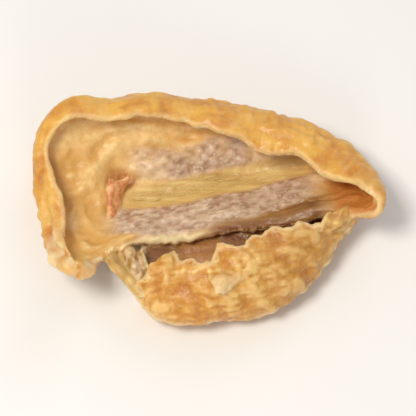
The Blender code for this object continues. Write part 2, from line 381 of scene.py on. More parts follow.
# The pit beside the torn leaf of chamber wall: its middle, half widths and depth.
PIT = (-15.6, 7.7)
PIT_SIZE = (1.9, 1.5)
PIT_DEPTH = 0.9

# Soft folds in the wall, each from one plan point to another, with its height.
FOLDS = [
    ((-25.5, 6.6), (-14.5, 13.6), 0.55),
    ((-16.0, 10.0), (-3.0, 11.6), 0.35),
    ((-27.0, 3.5), (-17.5, 8.5), 0.30),
    ((-24.0, 2.0), (-21.5, -9.0), 0.45),
    ((-20.5, 3.0), (-19.0, -4.0), -0.30),
    ((-12.0, 11.2), (2.0, 15.0), 0.30),
    ((13.0, 8.5), (24.0, 7.0), 0.35),
    ((18.0, 1.5), (27.0, 0.5), 0.40),
]


def fold(points, start, end, height):
    """A rounded ridge on the floor between two plan points, with a shallow valley along one side."""
    start, end = np.array(start), np.array(end)
    way = (end - start) / np.linalg.norm(end - start)
    reach = points[..., :2] - start
    along = reach @ way / np.linalg.norm(end - start)
    aside = reach @ (-way[1], way[0]) + 0.8 * np.sin(5.0 * along)
    ends = step(along, -0.1, 0.25) * (1 - step(along, 0.75, 1.1))
    return height * ends * (np.exp(-((aside / 0.9) ** 2)) - 0.6 * np.exp(-(((aside - 1.9) / 1.0) ** 2)))


points = plate[..., :3]
travel = plate[..., 5]
along, across = along_and_across(plate[..., 3], plate[..., 4])
ring = np.linspace(0, 1, len(plate))[:, None]
arc = np.cumsum(np.linalg.norm(np.diff(points[-1], axis=0, append=points[-1][:1]), axis=-1))[None, :]
on_floor = 1 - step(travel, 1.0, 4.0)

# The bands wander a little and close in towards the ends, and the top one bends up on the left.
place = (across + lumps(on_sheet(along, 0.0), (0.5, 6.0, 10))) / (1 - 0.25 * (along / 26.0) ** 2)
place_top = place - 1.0 * (1 - step(along, -13.0, -3.0))
patchy = np.clip(0.85 + lumps(points, (0.5, 2.6, 30)), 0.45, 1)
right = 1 - step(along, 15.0, 21.0)
band_top = band(place_top, SEED_BAND_TOP, 0.7) * step(along, -15.0, -9.0) * right * on_floor * patchy
band_low = band(place, SEED_BAND_LOW, 0.5) * step(along, -21.0, -15.0) * right * on_floor
core = band(place, CORE_BAND, 0.6) * step(along, -16.0, -12.0) * (1 - step(along, 17.0, 22.0)) * on_floor
bare = 1 - np.maximum(core, np.maximum(band_low, band_top))

thread = on_sheet(along / 8.0, across / 0.9)
threads = noise(thread, 1.0, 11) + 0.5 * noise(thread * (1.0, 2.1, 1.0), 1.0, 12)
relief = 0.06 * threads * (core + 0.4 * band_low + 0.5 * band_top) * on_floor
for limits, swell, share in ((SEED_BAND_LOW, LOW_SWELLS, band_low), (SEED_BAND_TOP, TOP_SWELLS, band_top)):
    middle, half = np.mean(limits), np.ptp(limits) / 2
    relief += swell * share * np.sqrt(np.clip(1 - ((place - middle) / half) ** 2, 0, 1))
relief -= CORE_SINKS * core * np.sin(np.clip((place - CORE_BAND[0]) / np.ptp(CORE_BAND), 0, 1) * math.pi)
for start, end, height in FOLDS:
    relief += fold(points, start, end, height) * (1 - step(travel, 7.0, 9.0))
aside = (points[..., 0] - PIT[0] + lumps(points, (0.7, 2.0, 21))) / PIT_SIZE[0]
above = (points[..., 1] - PIT[1]) / PIT_SIZE[1]
pit = np.exp(-(aside**2 + above**2)) * on_floor
relief -= PIT_DEPTH * pit

# The wall has painted light at the top, against the shade under the rolled rim, and painted shade on the
# left, with slow swells, and streaks that run round it.
painted_wall_shading = 0.45 * step(across, *TOP_WALL_LIT) - 0.35 * (1 - step(along, *LEFT_WALL_SHADED))
inner_lumps = lumps(points, (0.15, 2.6, 13), (0.08, 1.1, 14))
swells = hills(on_sheet(arc / 13.0, ring * 11.0), (1.0, 1.0, 20)) - 0.3
streaks = noise(on_sheet(arc / 5.0, ring * 22.0), 1.0, 36)
streaks += 0.7 * noise(on_sheet(arc / 2.4, ring * 40.0), 1.0, 37)
inner_lumps += 0.55 * swells * step(ring, 0.35, 0.5) * bare
inner_lumps += (0.25 * streaks + lumps(points, (0.07, 0.7, 38))) * bare * step(ring, 0.3, 0.45)

# The plate's skin side: the fruit was peeled before it dried, so its outside is flesh with a dry skin of its
# own. It shrank into furrows along the roll and finer wrinkles low on the back, and the left end of the rim
# is crumpled and pale, with painted highlights.

# Where round the plate the left furrow starts and ends, how far up the roll it lies, and its depth.
FURROW_STARTS = (0.46, 0.51)
FURROW_ENDS = (0.61, 0.635)
FURROW_TRAVEL = 6.1
FURROW_DEPTH = 1.3

# Where round the plate the rim is crumpled, where it has faint painted highlights, and where the strongest.
CRUMPLED_END = (0.575, 0.665)
PALE_RIM = (0.53, 0.67)
PALEST_END = (0.57, 0.67)

outer_lumps = lumps(points, (0.16, 4.0, 15)) + hills(points, (0.22, 1.9, 16)) + lumps(points, (0.06, 0.8, 19))
furrows = hills(on_sheet(arc / 8.0, travel / 1.7), (0.45, 1.0, 17))
creases = hills(on_sheet(arc / 1.5 + 0.2 * travel, travel / 5.0), (0.34, 1.0, 18))
outer_lumps += step(travel, 2.0, 5.0) * (furrows + creases - 0.22)
wrinkles = hills(on_sheet(arc / 1.3 + 0.15 * travel, travel / 3.6), (1.0, 1.0, 40))
wrinkles += hills(points, (0.5, 1.1, 41)) - 0.45
outer_lumps += 0.55 * wrinkles * (1 - step(points[..., 2], 7.0, 11.0)) * step(ring, 0.25, 0.5)
outer_lumps += 0.8 * band(around, CRUMPLED_END, 0.02) * (hills(points, (1.0, 1.5, 39)) - 0.2)
from_furrow = (travel - FURROW_TRAVEL + 0.5 * np.sin(arc / 3.0)) / 0.8
furrowed = step(around, *FURROW_STARTS) * (1 - step(around, *FURROW_ENDS))
outer_lumps -= FURROW_DEPTH * furrowed * np.exp(-(from_furrow**2))
# Painted highlights on the rim's left end, in pale cream.
painted_highlight = 0.35 * band(around, PALE_RIM, 0.04) + 0.45 * band(around, PALEST_END, 0.03)
painted_highlight = painted_highlight * step(travel, 0.5, 2.0) * np.clip(0.8 + lumps(points, (0.9, 1.5, 29)), 0, 1.1)

# The plate as one closed sheet, thinner at the edge, where the flesh dried hardest. Each face carries how far
# it is chamber, core, torn or stained, where it has painted shade or highlights, and how high it stands,
# which sets painted light on crests and painted shade in creases, and the flesh's material reads that for its
# colours.
FACE_NAMES = "outside lip seed_chamber core cut_edge stain amber web olive shred crest".split()


def unit(vectors):
    """The vectors at length 1."""
    return vectors / np.maximum(np.linalg.norm(vectors, axis=-1, keepdims=True), 1e-9)


def facing(points, closed):
    """Normals of a grid, on the side of the inner face."""
    back, on = beside(points, closed)
    normals = unit(np.cross(np.gradient(points, axis=0), on - back))
    if closed:
        normals[0] = unit(normals[1].mean(0))
    return normals


def from_edge(points):
    """How far each point lies from the last row, along its column."""
    steps = np.linalg.norm(np.diff(points, axis=0), axis=-1)
    return np.concatenate([np.cumsum(steps[::-1], 0)[::-1], np.zeros((1, points.shape[1]))])


def rounded(distance, radius):
    """The share of the thickness that is left near an edge, where the sheet ends in a half round."""
    return np.sqrt(1 - np.clip(1 - distance / radius, 0, 1) ** 2)


def both_faces(shape, **zones):
    """A pair for each zone, for the inner and the outer face of a grid of this shape. The rest are 0."""
    pairs = {key: (np.zeros(shape), np.zeros(shape)) for key in FACE_NAMES}
    for key, pair in zones.items():
        pairs[key] = tuple(np.broadcast_to(np.asarray(side, float), shape) for side in pair)
    return pairs


def closed_sheet(name, top, bottom, closed, faces):
    """A mesh of both faces of a sheet. faces holds an attribute pair for each zone."""
    if closed:
        top, bottom = (np.concatenate([side, side[:, :1]], 1) for side in (top, bottom))
        faces = {key: [np.concatenate([v, v[:, :1]], 1) for v in pair] for key, pair in faces.items()}
    rows, columns = top.shape[:2]
    index = np.arange(rows * columns).reshape(rows, columns)
    quads = np.stack([index[:-1, :-1], index[1:, :-1], index[1:, 1:], index[:-1, 1:]], -1).reshape(-1, 4)
    mesh = bpy.data.meshes.new(name)
    places = np.concatenate([top.reshape(-1, 3), bottom.reshape(-1, 3)]) * MM
    mesh.from_pydata(places, [], np.concatenate([quads, quads[:, ::-1] + rows * columns]))
    for key, pair in faces.items():
        values = np.concatenate([side.ravel() for side in pair]).astype(np.float32)
        mesh.attributes.new(key, "FLOAT", "POINT").data.foreach_set("value", values)
    obj = bpy.data.objects.new(name, mesh)
    bpy.context.scene.collection.objects.link(obj)
    return obj


edge_distance = from_edge(points)
near_edge = np.clip((ring - EDGE_THINS_FROM) / (1 - EDGE_THINS_FROM), 0, 1)
thickness = PLATE_THICKNESS * (1 - (1 - EDGE_SHARE) * near_edge**2)
thickness = thickness * rounded(edge_distance, thickness / 2)
full = np.minimum(thickness / PLATE_THICKNESS * 2, 1)
normals = facing(points, closed=True)
top = points + normals * (thickness / 2 + (relief + inner_lumps) * full)[..., None]
bottom = points - normals * (thickness / 2 + outer_lumps * full)[..., None]

# The tear shows cream flesh on the left. On the right, the flesh by the tear is painted brown as the shadow
# under the torn edge, and the pocket at the right end is amber.
cut_edge = 1 - step(edge_distance, 0.1, 0.9)
cream = 1 - step(along, -5.0, 1.0)
ridge = (1 - step(edge_distance, 0.4, 1.4)) * on_floor * cream * np.clip(0.9 + 0.5 * threads, 0, 1)
# Painted shadow on the right of the tear, where the torn edge overhangs the lip.
tear_shadow = (1 - step(place, -8.2, -6.8)) * on_floor * (1 - cream) * (1 - step(along, 17.0, 22.0))
plate_faces = both_faces(
    travel.shape,
    outside=(0, 1),
    seed_chamber=(np.maximum(band_low, band_top) * (1 - ridge), 0),
    core=(core, 0),
    # The cut-edge zone on the outer face also carries the painted highlights.
    cut_edge=(np.maximum(0.5 * cut_edge * (1 - tear_shadow), ridge), np.maximum(0.4 * cut_edge, painted_highlight)),
    # Painted light on crests and painted shade in creases, with the wall's painted light and shade.
    crest=(0.5 + painted_wall_shading + 1.5 * (relief + inner_lumps - 0.3 * band_low), 0.5 + 1.6 * outer_lumps),
    web=(np.clip(1.4 * pit, 0, 0.9), 0),
    # Stain in the pit, and painted shadow by the tear on the right and on the underside below the tear.
    stain=(np.maximum(0.2 * pit, 0.95 * tear_shadow), 0.6 * on_floor * (1 - step(place, -6.0, -4.0))),
    amber=(step(along, 18.0, 22.0) * (1 - step(travel, 3.0, 6.0)), 0),
)
layers = [closed_sheet("plate_sheet", top, bottom, True, plate_faces)]

# The lip as a closed sheet: its inner face is fibrous and painted brown as the shade in the trough under the
# plate's torn edge, darkest low down, and redder in the pocket behind the high points. The outer face that
# folds up into view is rough skin, creased from the fold up to the torn edge, with painted highlights as pale
# flecks at the bend and a duller right half.

# Where along the length the pocket is redder and the outside turns duller, where up the roll the painted
# highlights lie, the grid row, part way up the fold, that lengths along the lip are measured on, and how far
# from its torn edge the lip gets thinner.
POCKET_REDDER = (-5.5, 2.0)
OUTSIDE_DULLER = (2.0, 15.0)
HIGHLIGHT_TRAVEL = (4.6, 6.2)
LIP_FOLD_ROW = 60
THINNER_WITHIN = 5.0


def open_sheet(points, full_thickness, inner_lumps, outer_lumps, edge_share):
    """Both faces of a sheet with four rounded edges, and how far each point lies from each of them."""
    sideways = points.swapaxes(0, 1)
    distances = (
        from_edge(points),
        from_edge(points[::-1])[::-1],
        from_edge(sideways).swapaxes(0, 1),
        from_edge(sideways[::-1])[::-1].swapaxes(0, 1),
    )
    thin = np.clip(1 - distances[0] / THINNER_WITHIN, 0, 1)
    thickness = full_thickness * (1 - (1 - edge_share) * thin**2)
    for distance in distances:
        thickness = thickness * rounded(distance, full_thickness / 3)
    full = np.minimum(thickness / full_thickness * 2, 1)
    normals = facing(points, closed=False)
    top = points + normals * (thickness / 2 + inner_lumps * full)[..., None]
    bottom = points - normals * (thickness / 2 + outer_lumps * full)[..., None]
    return top, bottom, distances


points = lip[..., :3]
travel = lip[..., 5]
along, across = along_and_across(points[..., 0], points[..., 1])
fold_row = points[LIP_FOLD_ROW]
arc = np.cumsum(np.linalg.norm(np.diff(fold_row, axis=0, prepend=fold_row[:1]), axis=-1))[None, :]
threads = lumps(on_sheet(along / 5.0, across / 0.7), (0.17, 1.0, 22))
inner_lumps = lumps(points, (0.25, 2.2, 23), (0.12, 1.0, 24)) + threads
creases = hills(on_sheet(arc / 1.6 + 0.22 * travel, travel / 5.5), (0.60, 1.0, 27))
outer_lumps = lumps(points, (0.38, 3.8, 25), (0.12, 0.8, 28)) + hills(points, (0.42, 2.2, 26))
outer_lumps += creases - 0.35
top, bottom, distances = open_sheet(points, LIP_THICKNESS, inner_lumps, outer_lumps, EDGE_SHARE)
cut_edge = 0.5 * (1 - step(np.minimum(distances[0], distances[3]), 0.2, 1.0))
duller = step(points[..., 0], *OUTSIDE_DULLER)
reddish = band(points[..., 0], POCKET_REDDER, 1.6)
# Painted highlights as pale flecks at the bend.
painted_highlight = 0.6 * band(travel, HIGHLIGHT_TRAVEL, 0.7) * step(lumps(points, (1.0, 1.4, 42)), 0.0, 0.5)
lip_faces = both_faces(
    travel.shape,
    outside=(0, 1),
    lip=(1, 1),
    # The cut-edge zone on the outer face also carries the painted highlights.
    cut_edge=(cut_edge, np.maximum(cut_edge, painted_highlight)),
    amber=(0.8 * reddish, 0),
    # Painted shade in the trough, darkest low down, less in the redder pocket, a little on the duller right
    # half.
    stain=((1 - 0.9 * step(travel, 5.0, 12.0)) * (1 - 0.5 * reddish), 0.16 * duller),
    olive=(0, 0.15 * duller),
    # Painted light on the lip's crests and painted shade in its creases.
    crest=(0.5 + 1.2 * inner_lumps, 0.5 + 1.0 * outer_lumps),
)
layers.append(closed_sheet("lip_sheet", top, bottom, False, lip_faces))

# Scraps of torn flesh, left where the fruit's inner walls pulled apart: a leaf of chamber wall on the floor,
# a tongue peeled off the lip, shreds across the left notch, folds at the right and a curl at the rim's end.

# Each scrap: its thickness, how much of each zone it is, how pale its free end is, and its net of control
# points, x, y and z. The net's rows go from where the scrap is attached to its free end.
SCRAPS = {
    "chamber_leaf": (0.6, {"web": 1.0}, 0.0, [
        [(-17.2, 0.0, 3.0), (-16.8, 0.1, 3.2), (-16.3, 0.3, 2.8)],
        [(-17.8, 2.4, 3.9), (-16.8, 2.4, 4.3), (-15.4, 2.7, 2.8)],
        [(-17.9, 4.4, 4.7), (-16.6, 4.3, 4.9), (-14.8, 4.7, 3.0)],
        [(-17.7, 6.0, 5.2), (-16.0, 5.6, 5.0), (-13.9, 6.4, 4.6)],
        [(-17.4, 7.1, 5.3), (-15.7, 6.4, 5.0), (-13.3, 8.3, 6.1)],
    ]),
    "lip_tongue": (0.8, {"lip": 1.0, "outside": 1.0}, 0.5, [
        [(0.4, -13.6, 10.3), (2.2, -13.4, 10.6), (4.0, -13.1, 10.7), (6.2, -12.7, 10.2)],
        [(0.3, -14.5, 10.8), (2.0, -14.5, 11.4), (4.0, -14.2, 11.2), (6.0, -13.9, 10.5)],
        [(0.8, -15.6, 11.0), (1.9, -15.5, 12.1), (3.4, -15.3, 11.5), (4.9, -15.0, 10.4)],
        [(1.2, -16.7, 11.0), (1.9, -16.6, 11.9), (2.9, -16.4, 11.2), (3.7, -16.1, 10.2)],
        [(1.6, -17.7, 10.9), (1.9, -17.7, 11.5), (2.3, -17.6, 11.1), (2.7, -17.4, 10.4)],
    ]),
    "notch_strand": (0.7, {"olive": 1.0}, 0.0, [
        [(-18.2, -7.6, 5.0), (-17.4, -7.0, 5.9), (-16.4, -6.6, 5.2)],
        [(-17.0, -9.8, 5.6), (-16.2, -9.4, 6.6), (-15.4, -8.8, 5.4)],
        [(-15.4, -12.0, 5.6), (-14.8, -11.4, 6.7), (-14.0, -11.0, 5.2)],
        [(-13.8, -14.2, 6.2), (-13.0, -13.8, 7.2), (-12.2, -13.2, 6.2)],
        [(-11.8, -16.6, 6.4), (-11.0, -16.4, 7.1), (-10.2, -15.8, 6.6)],
    ]),
    "notch_shred": (0.6, {"shred": 1.0}, 0.0, [
        [(-14.6, -7.0, 4.2), (-13.4, -6.4, 5.4), (-12.2, -6.6, 4.2), (-11.2, -6.2, 4.8)],
        [(-14.2, -9.0, 4.6), (-13.1, -8.8, 6.2), (-11.9, -8.6, 4.6), (-10.8, -8.8, 6.0)],
        [(-13.4, -11.2, 4.6), (-12.2, -11.0, 6.4), (-11.2, -10.6, 5.0), (-10.0, -11.2, 6.4)],
        [(-12.2, -13.8, 5.4), (-11.2, -13.4, 6.6), (-10.2, -13.0, 5.8), (-9.2, -13.6, 6.4)],
    ]),
    "notch_fold": (0.6, {"olive": 1.0}, 0.0, [
        [(-17.2, -6.4, 4.6), (-16.2, -6.0, 4.0), (-15.0, -6.0, 4.2), (-13.8, -6.0, 3.6)],
        [(-16.0, -9.2, 5.4), (-15.0, -8.8, 4.2), (-14.0, -8.8, 4.8), (-12.8, -8.8, 3.8)],
        [(-14.6, -12.0, 5.6), (-13.6, -11.8, 4.4), (-12.6, -11.6, 4.8), (-11.6, -11.6, 4.0)],
        [(-12.6, -15.4, 6.2), (-11.6, -15.0, 5.2), (-10.8, -14.8, 5.6), (-9.8, -14.8, 5.2)],
    ]),
    "end_folds": (0.9, {"lip": 1.0, "outside": 1.0, "olive": 0.5}, 0.0, [
        [(19.2, -5.2, 9.4), (21.0, -4.8, 8.6), (22.7, -4.0, 8.2), (24.4, -3.0, 6.4), (25.9, -1.8, 5.2)],
        [(19.6, -4.2, 10.5), (21.1, -3.7, 9.4), (22.7, -2.9, 9.6), (24.3, -1.9, 7.5), (25.8, -0.8, 6.8)],
        [(20.0, -3.2, 10.8), (21.5, -2.6, 9.6), (23.0, -1.8, 9.9), (24.5, -0.9, 7.8), (26.0, 0.2, 7.3)],
        [(20.6, -2.2, 10.4), (22.0, -1.5, 9.5), (23.4, -0.7, 9.4), (24.8, 0.1, 7.8), (26.2, 1.1, 7.2)],
    ]),
    "rim_curl": (1.0, {"outside": 1.0}, 0.6, [
        [(-21.6, -11.6, 11.4), (-22.0, -12.8, 13.2), (-22.2, -14.0, 13.5), (-22.2, -14.8, 12.4)],
        [(-20.8, -11.4, 10.6), (-21.0, -12.7, 12.6), (-21.2, -14.1, 13.3), (-21.4, -15.2, 12.0)],
        [(-20.0, -11.4, 9.7), (-20.0, -12.7, 11.6), (-20.2, -14.1, 12.5), (-20.6, -15.1, 11.7)],
        [(-19.4, -11.8, 9.2), (-18.9, -12.9, 10.6), (-19.1, -14.0, 11.3), (-19.8, -14.7, 11.1)],
    ]),
}
SCRAP_DIVISIONS = (56, 56)
SCRAP_EDGE_SHARE = 0.7

ring = np.linspace(0, 1, SCRAP_DIVISIONS[0])[:, None]
for seed, (name, (full_thickness, zones, paleness, net)) in enumerate(SCRAPS.items(), 41):
    points = refined(np.array(net), SCRAP_DIVISIONS, closed=False)
    crumples = [lumps(points, (0.25, 2.0, seed + 20 * i), (0.14, 0.9, seed + 9 * i)) for i in range(3)]
    points += np.dstack(crumples)
    bumps = lumps(points, (0.12, 1.2, seed))
    top, bottom, distances = open_sheet(points, full_thickness, bumps, bumps, SCRAP_EDGE_SHARE)
    near = 1 - step(np.minimum.reduce([distances[0], distances[2], distances[3]]), 0.1, 0.6)
    pale = np.maximum(0.4 * near, paleness * (1 + lumps(points, (0.6, 1.6, 55))) * step(ring, 0.15, 0.5))
    faces = {zone: (share, share) for zone, share in zones.items()}
    faces["cut_edge"] = (pale, pale)
    # Painted light on the scraps' bumps and painted shade between them.
    faces["crest"] = (0.5 + 3 * bumps, 0.5 + 3 * bumps)
    layers.append(closed_sheet(name, top, bottom, False, both_faces(SCRAP_DIVISIONS, **faces)))

# The slice in one piece: the layers are one flesh, so they are grown together where they meet. The finest
# relief comes last, and the slice stands on the spot that the drying tray pressed flat.
GROWN_DETAIL = 0.325
GRAIN_HEIGHT = 0.26
PORE_HEIGHT = 0.06
WRINKLE_HEIGHT = 0.24
RIM_WRINKLE_SHARE = 0.35

source_places, source_values = [], []
for obj in layers:
    count = len(obj.data.vertices)
    places = np.empty(count * 3)
    obj.data.vertices.foreach_get("co", places)
    source_places.append(places.reshape(-1, 3))
    values = np.empty((len(FACE_NAMES), count), np.float32)
    for row, key in enumerate(FACE_NAMES):
        obj.data.attributes[key].data.foreach_get("value", values[row])
    source_values.append(values)
source_places = np.concatenate(source_places)
source_values = np.concatenate(source_values, axis=1)

with bpy.context.temp_override(active_object=layers[0], selected_editable_objects=layers):
    bpy.ops.object.join()
whole = layers[0]
grown = whole.modifiers.new("grown_together", "REMESH")
grown.mode = "VOXEL"
grown.voxel_size = GROWN_DETAIL * MM
smooth = whole.modifiers.new("smooth", "SMOOTH")
smooth.factor = 0.5
smooth.iterations = 1
bpy.context.view_layer.update()
graph = bpy.context.evaluated_depsgraph_get()
mesh = bpy.data.meshes.new_from_object(whole.evaluated_get(graph))
bpy.data.objects.remove(whole)
flesh = bpy.data.objects.new("persimmon_flesh", mesh)
bpy.context.scene.collection.objects.link(flesh)

tree = kdtree.KDTree(len(source_places))
for i, place in enumerate(source_places):
    tree.insert(place, i)
tree.balance()
count = len(mesh.vertices)
places = np.empty(count * 3)
mesh.vertices.foreach_get("co", places)
places = places.reshape(-1, 3)
nearest = np.array([tree.find(place)[1] for place in places])
cover = dict(zip(FACE_NAMES, source_values[:, nearest]))
normals = np.empty(count * 3, np.float32)
mesh.vertex_normals.foreach_get("vector", normals)
normals = normals.reshape(-1, 3)

# Grain on the chambers and wrinkles on the skin follow the fibres. Each number is the size of the lumps.
along, across = along_and_across(places[:, 0] / MM, places[:, 1] / MM)
height = places[:, 2] / MM
grain = noise(np.stack([along / 1.1, across / 0.65, height], 1), 1.0, 31)
grain += 0.7 * noise(np.stack([along / 0.6, across / 0.4, height], 1), 1.0, 32)
grain = np.clip(0.5 + 0.55 * grain, 0, 1)
pores = noise(places / MM, 0.9, 33)
wrinkle = np.abs(noise(np.stack([along / 2.4, across / 1.2, height / 1.2], 1), 1.0, 34))
wrinkle += 0.6 * np.abs(noise(np.stack([along / 1.2, across / 0.7, height / 0.7], 1), 1.0, 35)) - 0.4
wrinkle *= cover["outside"] * (RIM_WRINKLE_SHARE + (1 - RIM_WRINKLE_SHARE) * cover["lip"])
chamber = cover["seed_chamber"]
lift = (grain - 0.5) * GRAIN_HEIGHT * chamber + pores * PORE_HEIGHT * (1 - chamber) + wrinkle * WRINKLE_HEIGHT
places += normals * (lift * MM)[:, None]
places[:, 2] = np.maximum(places[:, 2], 0)
places = np.clip(places, np.array(cad_low), np.array(cad_high))
mesh.vertices.foreach_set("co", places.ravel())
# Wrinkle ridges get more painted light.
cover["crest"] = np.clip(cover["crest"] + 0.8 * wrinkle, 0, 1)
cover["grain"] = grain
for key, values in cover.items():
    mesh.attributes.new(key, "FLOAT", "POINT").data.foreach_set("value", values.astype(np.float32))
mesh.shade_smooth()
mesh.update()

# The flesh: air-dried persimmon, tough and waxy like soft leather. Light goes a millimetre or two into it and
# comes back orange. The seed chambers are dull, grainy and purplish, and the core between them is fibrous.
FLESH = {
    "skin_light": "#ebb955",
    "skin_deep": "#c97a1e",
    # Pale sugar bloom in the freckles, and painted highlights on the highest crests.
    "bloom_and_highlight": "#f8dfa8",
    "wall_light": "#f8d896",
    "wall_deep": "#e0ae60",
    "chamber_dark": "#ad8464",
    "chamber_pale": "#e8cdb0",
    "core_light": "#edcc82",
    "core_deep": "#c59a4e",
    # Cream of the cut and torn edges, also used for the painted highlights.
    "edge": "#f9e3b0",
    # Brown for stains, and for painted shade in the trough and by the tear.
    "stain": "#824c2c",
    "amber": "#cd853e",
    "lip_dark": "#bf751d",
    "web_dark": "#c97f4a",
    "web_light": "#ebb47a",
    "olive_dark": "#b08644",
    "shred_light": "#e6cba2",
}


def linear(hex_colour):
    """A colour given as sRGB hex, in the linear values that the shader takes."""
    parts = [int(hex_colour[i : i + 2], 16) / 255 for i in (1, 3, 5)]
    return (*(c / 12.92 if c <= 0.04045 else ((c + 0.055) / 1.055) ** 2.4 for c in parts), 1.0)


def add(tree, kind, inputs=None, **settings):
    """Adds a node with its settings. Each input takes a value, or the socket that feeds it."""
    node = tree.nodes.new(kind)
    for name, value in settings.items():
        setattr(node, name, value)
    for key, value in (inputs or {}).items():
        if isinstance(value, bpy.types.NodeSocket):
            tree.links.new(value, node.inputs[key])
        else:
            node.inputs[key].default_value = value
    return node


def per_metre(size):
    """A noise scale whose lumps have this size in millimetres."""
    return 1 / (size * MM)


material = bpy.data.materials.new("dried_persimmon_flesh")
material.use_nodes = True
nodes = material.node_tree
shader = nodes.nodes["Principled BSDF"]
where = add(nodes, "ShaderNodeTexCoord").outputs["Object"]
drawn_out = {"Vector": where, "Rotation": (0, 0, -math.radians(FIBRE_ANGLE)), "Scale": (0.12, 1.6, 1.0)}
fibres = add(nodes, "ShaderNodeMapping", drawn_out).outputs["Vector"]

# Each pattern: its coordinates, the size of its lumps in millimetres, and the levels stretched to 0 and 1.
PATTERNS = {
    "blotch": (where, 5.0, 0.35, 0.68),
    "mottle": (where, 1.4, 0.38, 0.66),
    "freckle": (where, 0.6, 0.45, 0.75),
    "streak": (fibres, 1.8, 0.30, 0.70),
}
mask = {key: add(nodes, "ShaderNodeAttribute", attribute_name=key).outputs["Fac"] for key in cover}
for key, (vector, size, low, high) in PATTERNS.items():
    pattern = add(nodes, "ShaderNodeTexNoise", {"Vector": vector, "Scale": per_metre(size), "Detail": 3.0})
    levels = {"Value": pattern.outputs["Fac"], "From Min": low, "From Max": high}
    mask[key] = add(nodes, "ShaderNodeMapRange", levels, interpolation_type="SMOOTHSTEP").outputs["Result"]
# Painted highlights where the surface stands highest.
peak_highlight = {"Value": mask["crest"], "From Min": 0.5, "From Max": 1.0}
mask["peak_highlight"] = add(nodes, "ShaderNodeMapRange", peak_highlight).outputs["Result"]

# Each layer of colour: the tone that it makes, the tones below and above, what mixes them, and how strongly.
# Mixes by relief height are painted light on crests and painted shade in creases.
LAYERS = [
    ("skin", "skin_deep", "skin_light", "blotch", 1.0),
    ("skin", "skin", "skin_light", "crest", 0.6),
    ("lip", "lip_dark", "skin_light", "crest", 1.0),
    ("lip", "lip", "skin_light", "blotch", 0.3),
    ("lip", "lip", "lip_dark", "streak", 0.25),
    ("lip", "lip", "bloom_and_highlight", "freckle", 0.10),
    # Painted highlights on the highest crests.
    ("lip", "lip", "bloom_and_highlight", "peak_highlight", 0.35),
    ("skin", "skin", "lip", "lip", 1.0),
    ("skin", "skin", "skin_deep", "mottle", 0.15),
    ("skin", "skin", "skin_deep", "streak", 0.15),
    ("skin", "skin", "bloom_and_highlight", "freckle", 0.12),
    ("wall", "wall_deep", "wall_light", "crest", 1.0),
    ("wall", "wall", "core_deep", "blotch", 0.3),
    ("wall", "wall", "wall_deep", "mottle", 0.5),
    ("core", "core_light", "core_deep", "streak", 0.9),
    ("chamber", "chamber_dark", "chamber_pale", "grain", 1.0),
    ("flesh", "wall", "core", "core", 1.0),
    ("flesh", "flesh", "amber", "amber", 1.0),
    ("flesh", "flesh", "chamber", "seed_chamber", 1.0),
    ("flesh", "flesh", "skin", "outside", 1.0),
    ("web", "web_dark", "web_light", "mottle", 1.0),
    ("flesh", "flesh", "web", "web", 1.0),
    ("olive", "olive_dark", "core_light", "crest", 1.0),
    ("flesh", "flesh", "olive", "olive", 1.0),
    ("shred", "olive_dark", "shred_light", "mottle", 1.0),
    ("flesh", "flesh", "shred", "shred", 1.0),
    # The torn tone is part stain and part painted shade.
    ("torn", "stain", "core_deep", "streak", 0.4),
    ("flesh", "flesh", "torn", "stain", 1.0),
    # The cut-edge zone also carries painted highlights.
    ("flesh", "flesh", "edge", "cut_edge", 1.0),
]
tone = {key: linear(value) for key, value in FLESH.items()}
for key, below, above, mixer, share in LAYERS:
    amount = mask[mixer]
    if share < 1:
        amount = add(nodes, "ShaderNodeMath", {0: amount, 1: share}, operation="MULTIPLY").outputs[0]
    levels = {0: amount, 6: tone[below], 7: tone[above]}
    tone[key] = add(nodes, "ShaderNodeMix", levels, data_type="RGBA").outputs[2]
nodes.links.new(tone["flesh"], shader.inputs["Base Color"])

# It is satin, a little glossier where sugar has seeped out, with dry pores 0.4 mm wide.
rough = {"Value": mask["mottle"], "To Min": 0.31, "To Max": 0.5}
nodes.links.new(add(nodes, "ShaderNodeMapRange", rough).outputs["Result"], shader.inputs["Roughness"])
fine = add(nodes, "ShaderNodeTexNoise", {"Vector": where, "Scale": per_metre(0.4), "Detail": 3.0})
pitted = {"Height": fine.outputs["Fac"], "Strength": 0.6, "Distance": 0.2 * MM}
bump = add(nodes, "ShaderNodeBump", pitted)
nodes.links.new(bump.outputs["Normal"], shader.inputs["Normal"])

# Light spreads 1.6 mm into the flesh, red the furthest.
shader.inputs["Subsurface Weight"].default_value = 0.4
shader.inputs["Subsurface Radius"].default_value = (1.0, 0.45, 0.18)
shader.inputs["Subsurface Scale"].default_value = 1.6 * MM
shader.inputs["IOR"].default_value = 1.45
shader.inputs["Coat Weight"].default_value = 0.2
shader.inputs["Coat Roughness"].default_value = 0.3
mesh.materials.clear()
mesh.materials.append(material)

# The dried pulp: pale flat grains on the seed chambers, and loose fibres along the core between them. They
# dried onto the flesh, so they lie half in it and follow its fibres. Their surface is matt, with no gloss.

# Each kind: the zone it lies on, its colour, how many lie on a square millimetre, the half length, width and
# height of the smallest and the largest in millimetres, and its seed.
BITS = {
    "pulp_grains": ("seed_chamber", "#d3b596", 0.9, (0.20, 0.14, 0.02), (0.44, 0.26, 0.06), 61),
    "core_fibres": ("core", "#dfb86e", 0.45, (1.1, 0.08, 0.04), (2.8, 0.15, 0.07), 62),
}

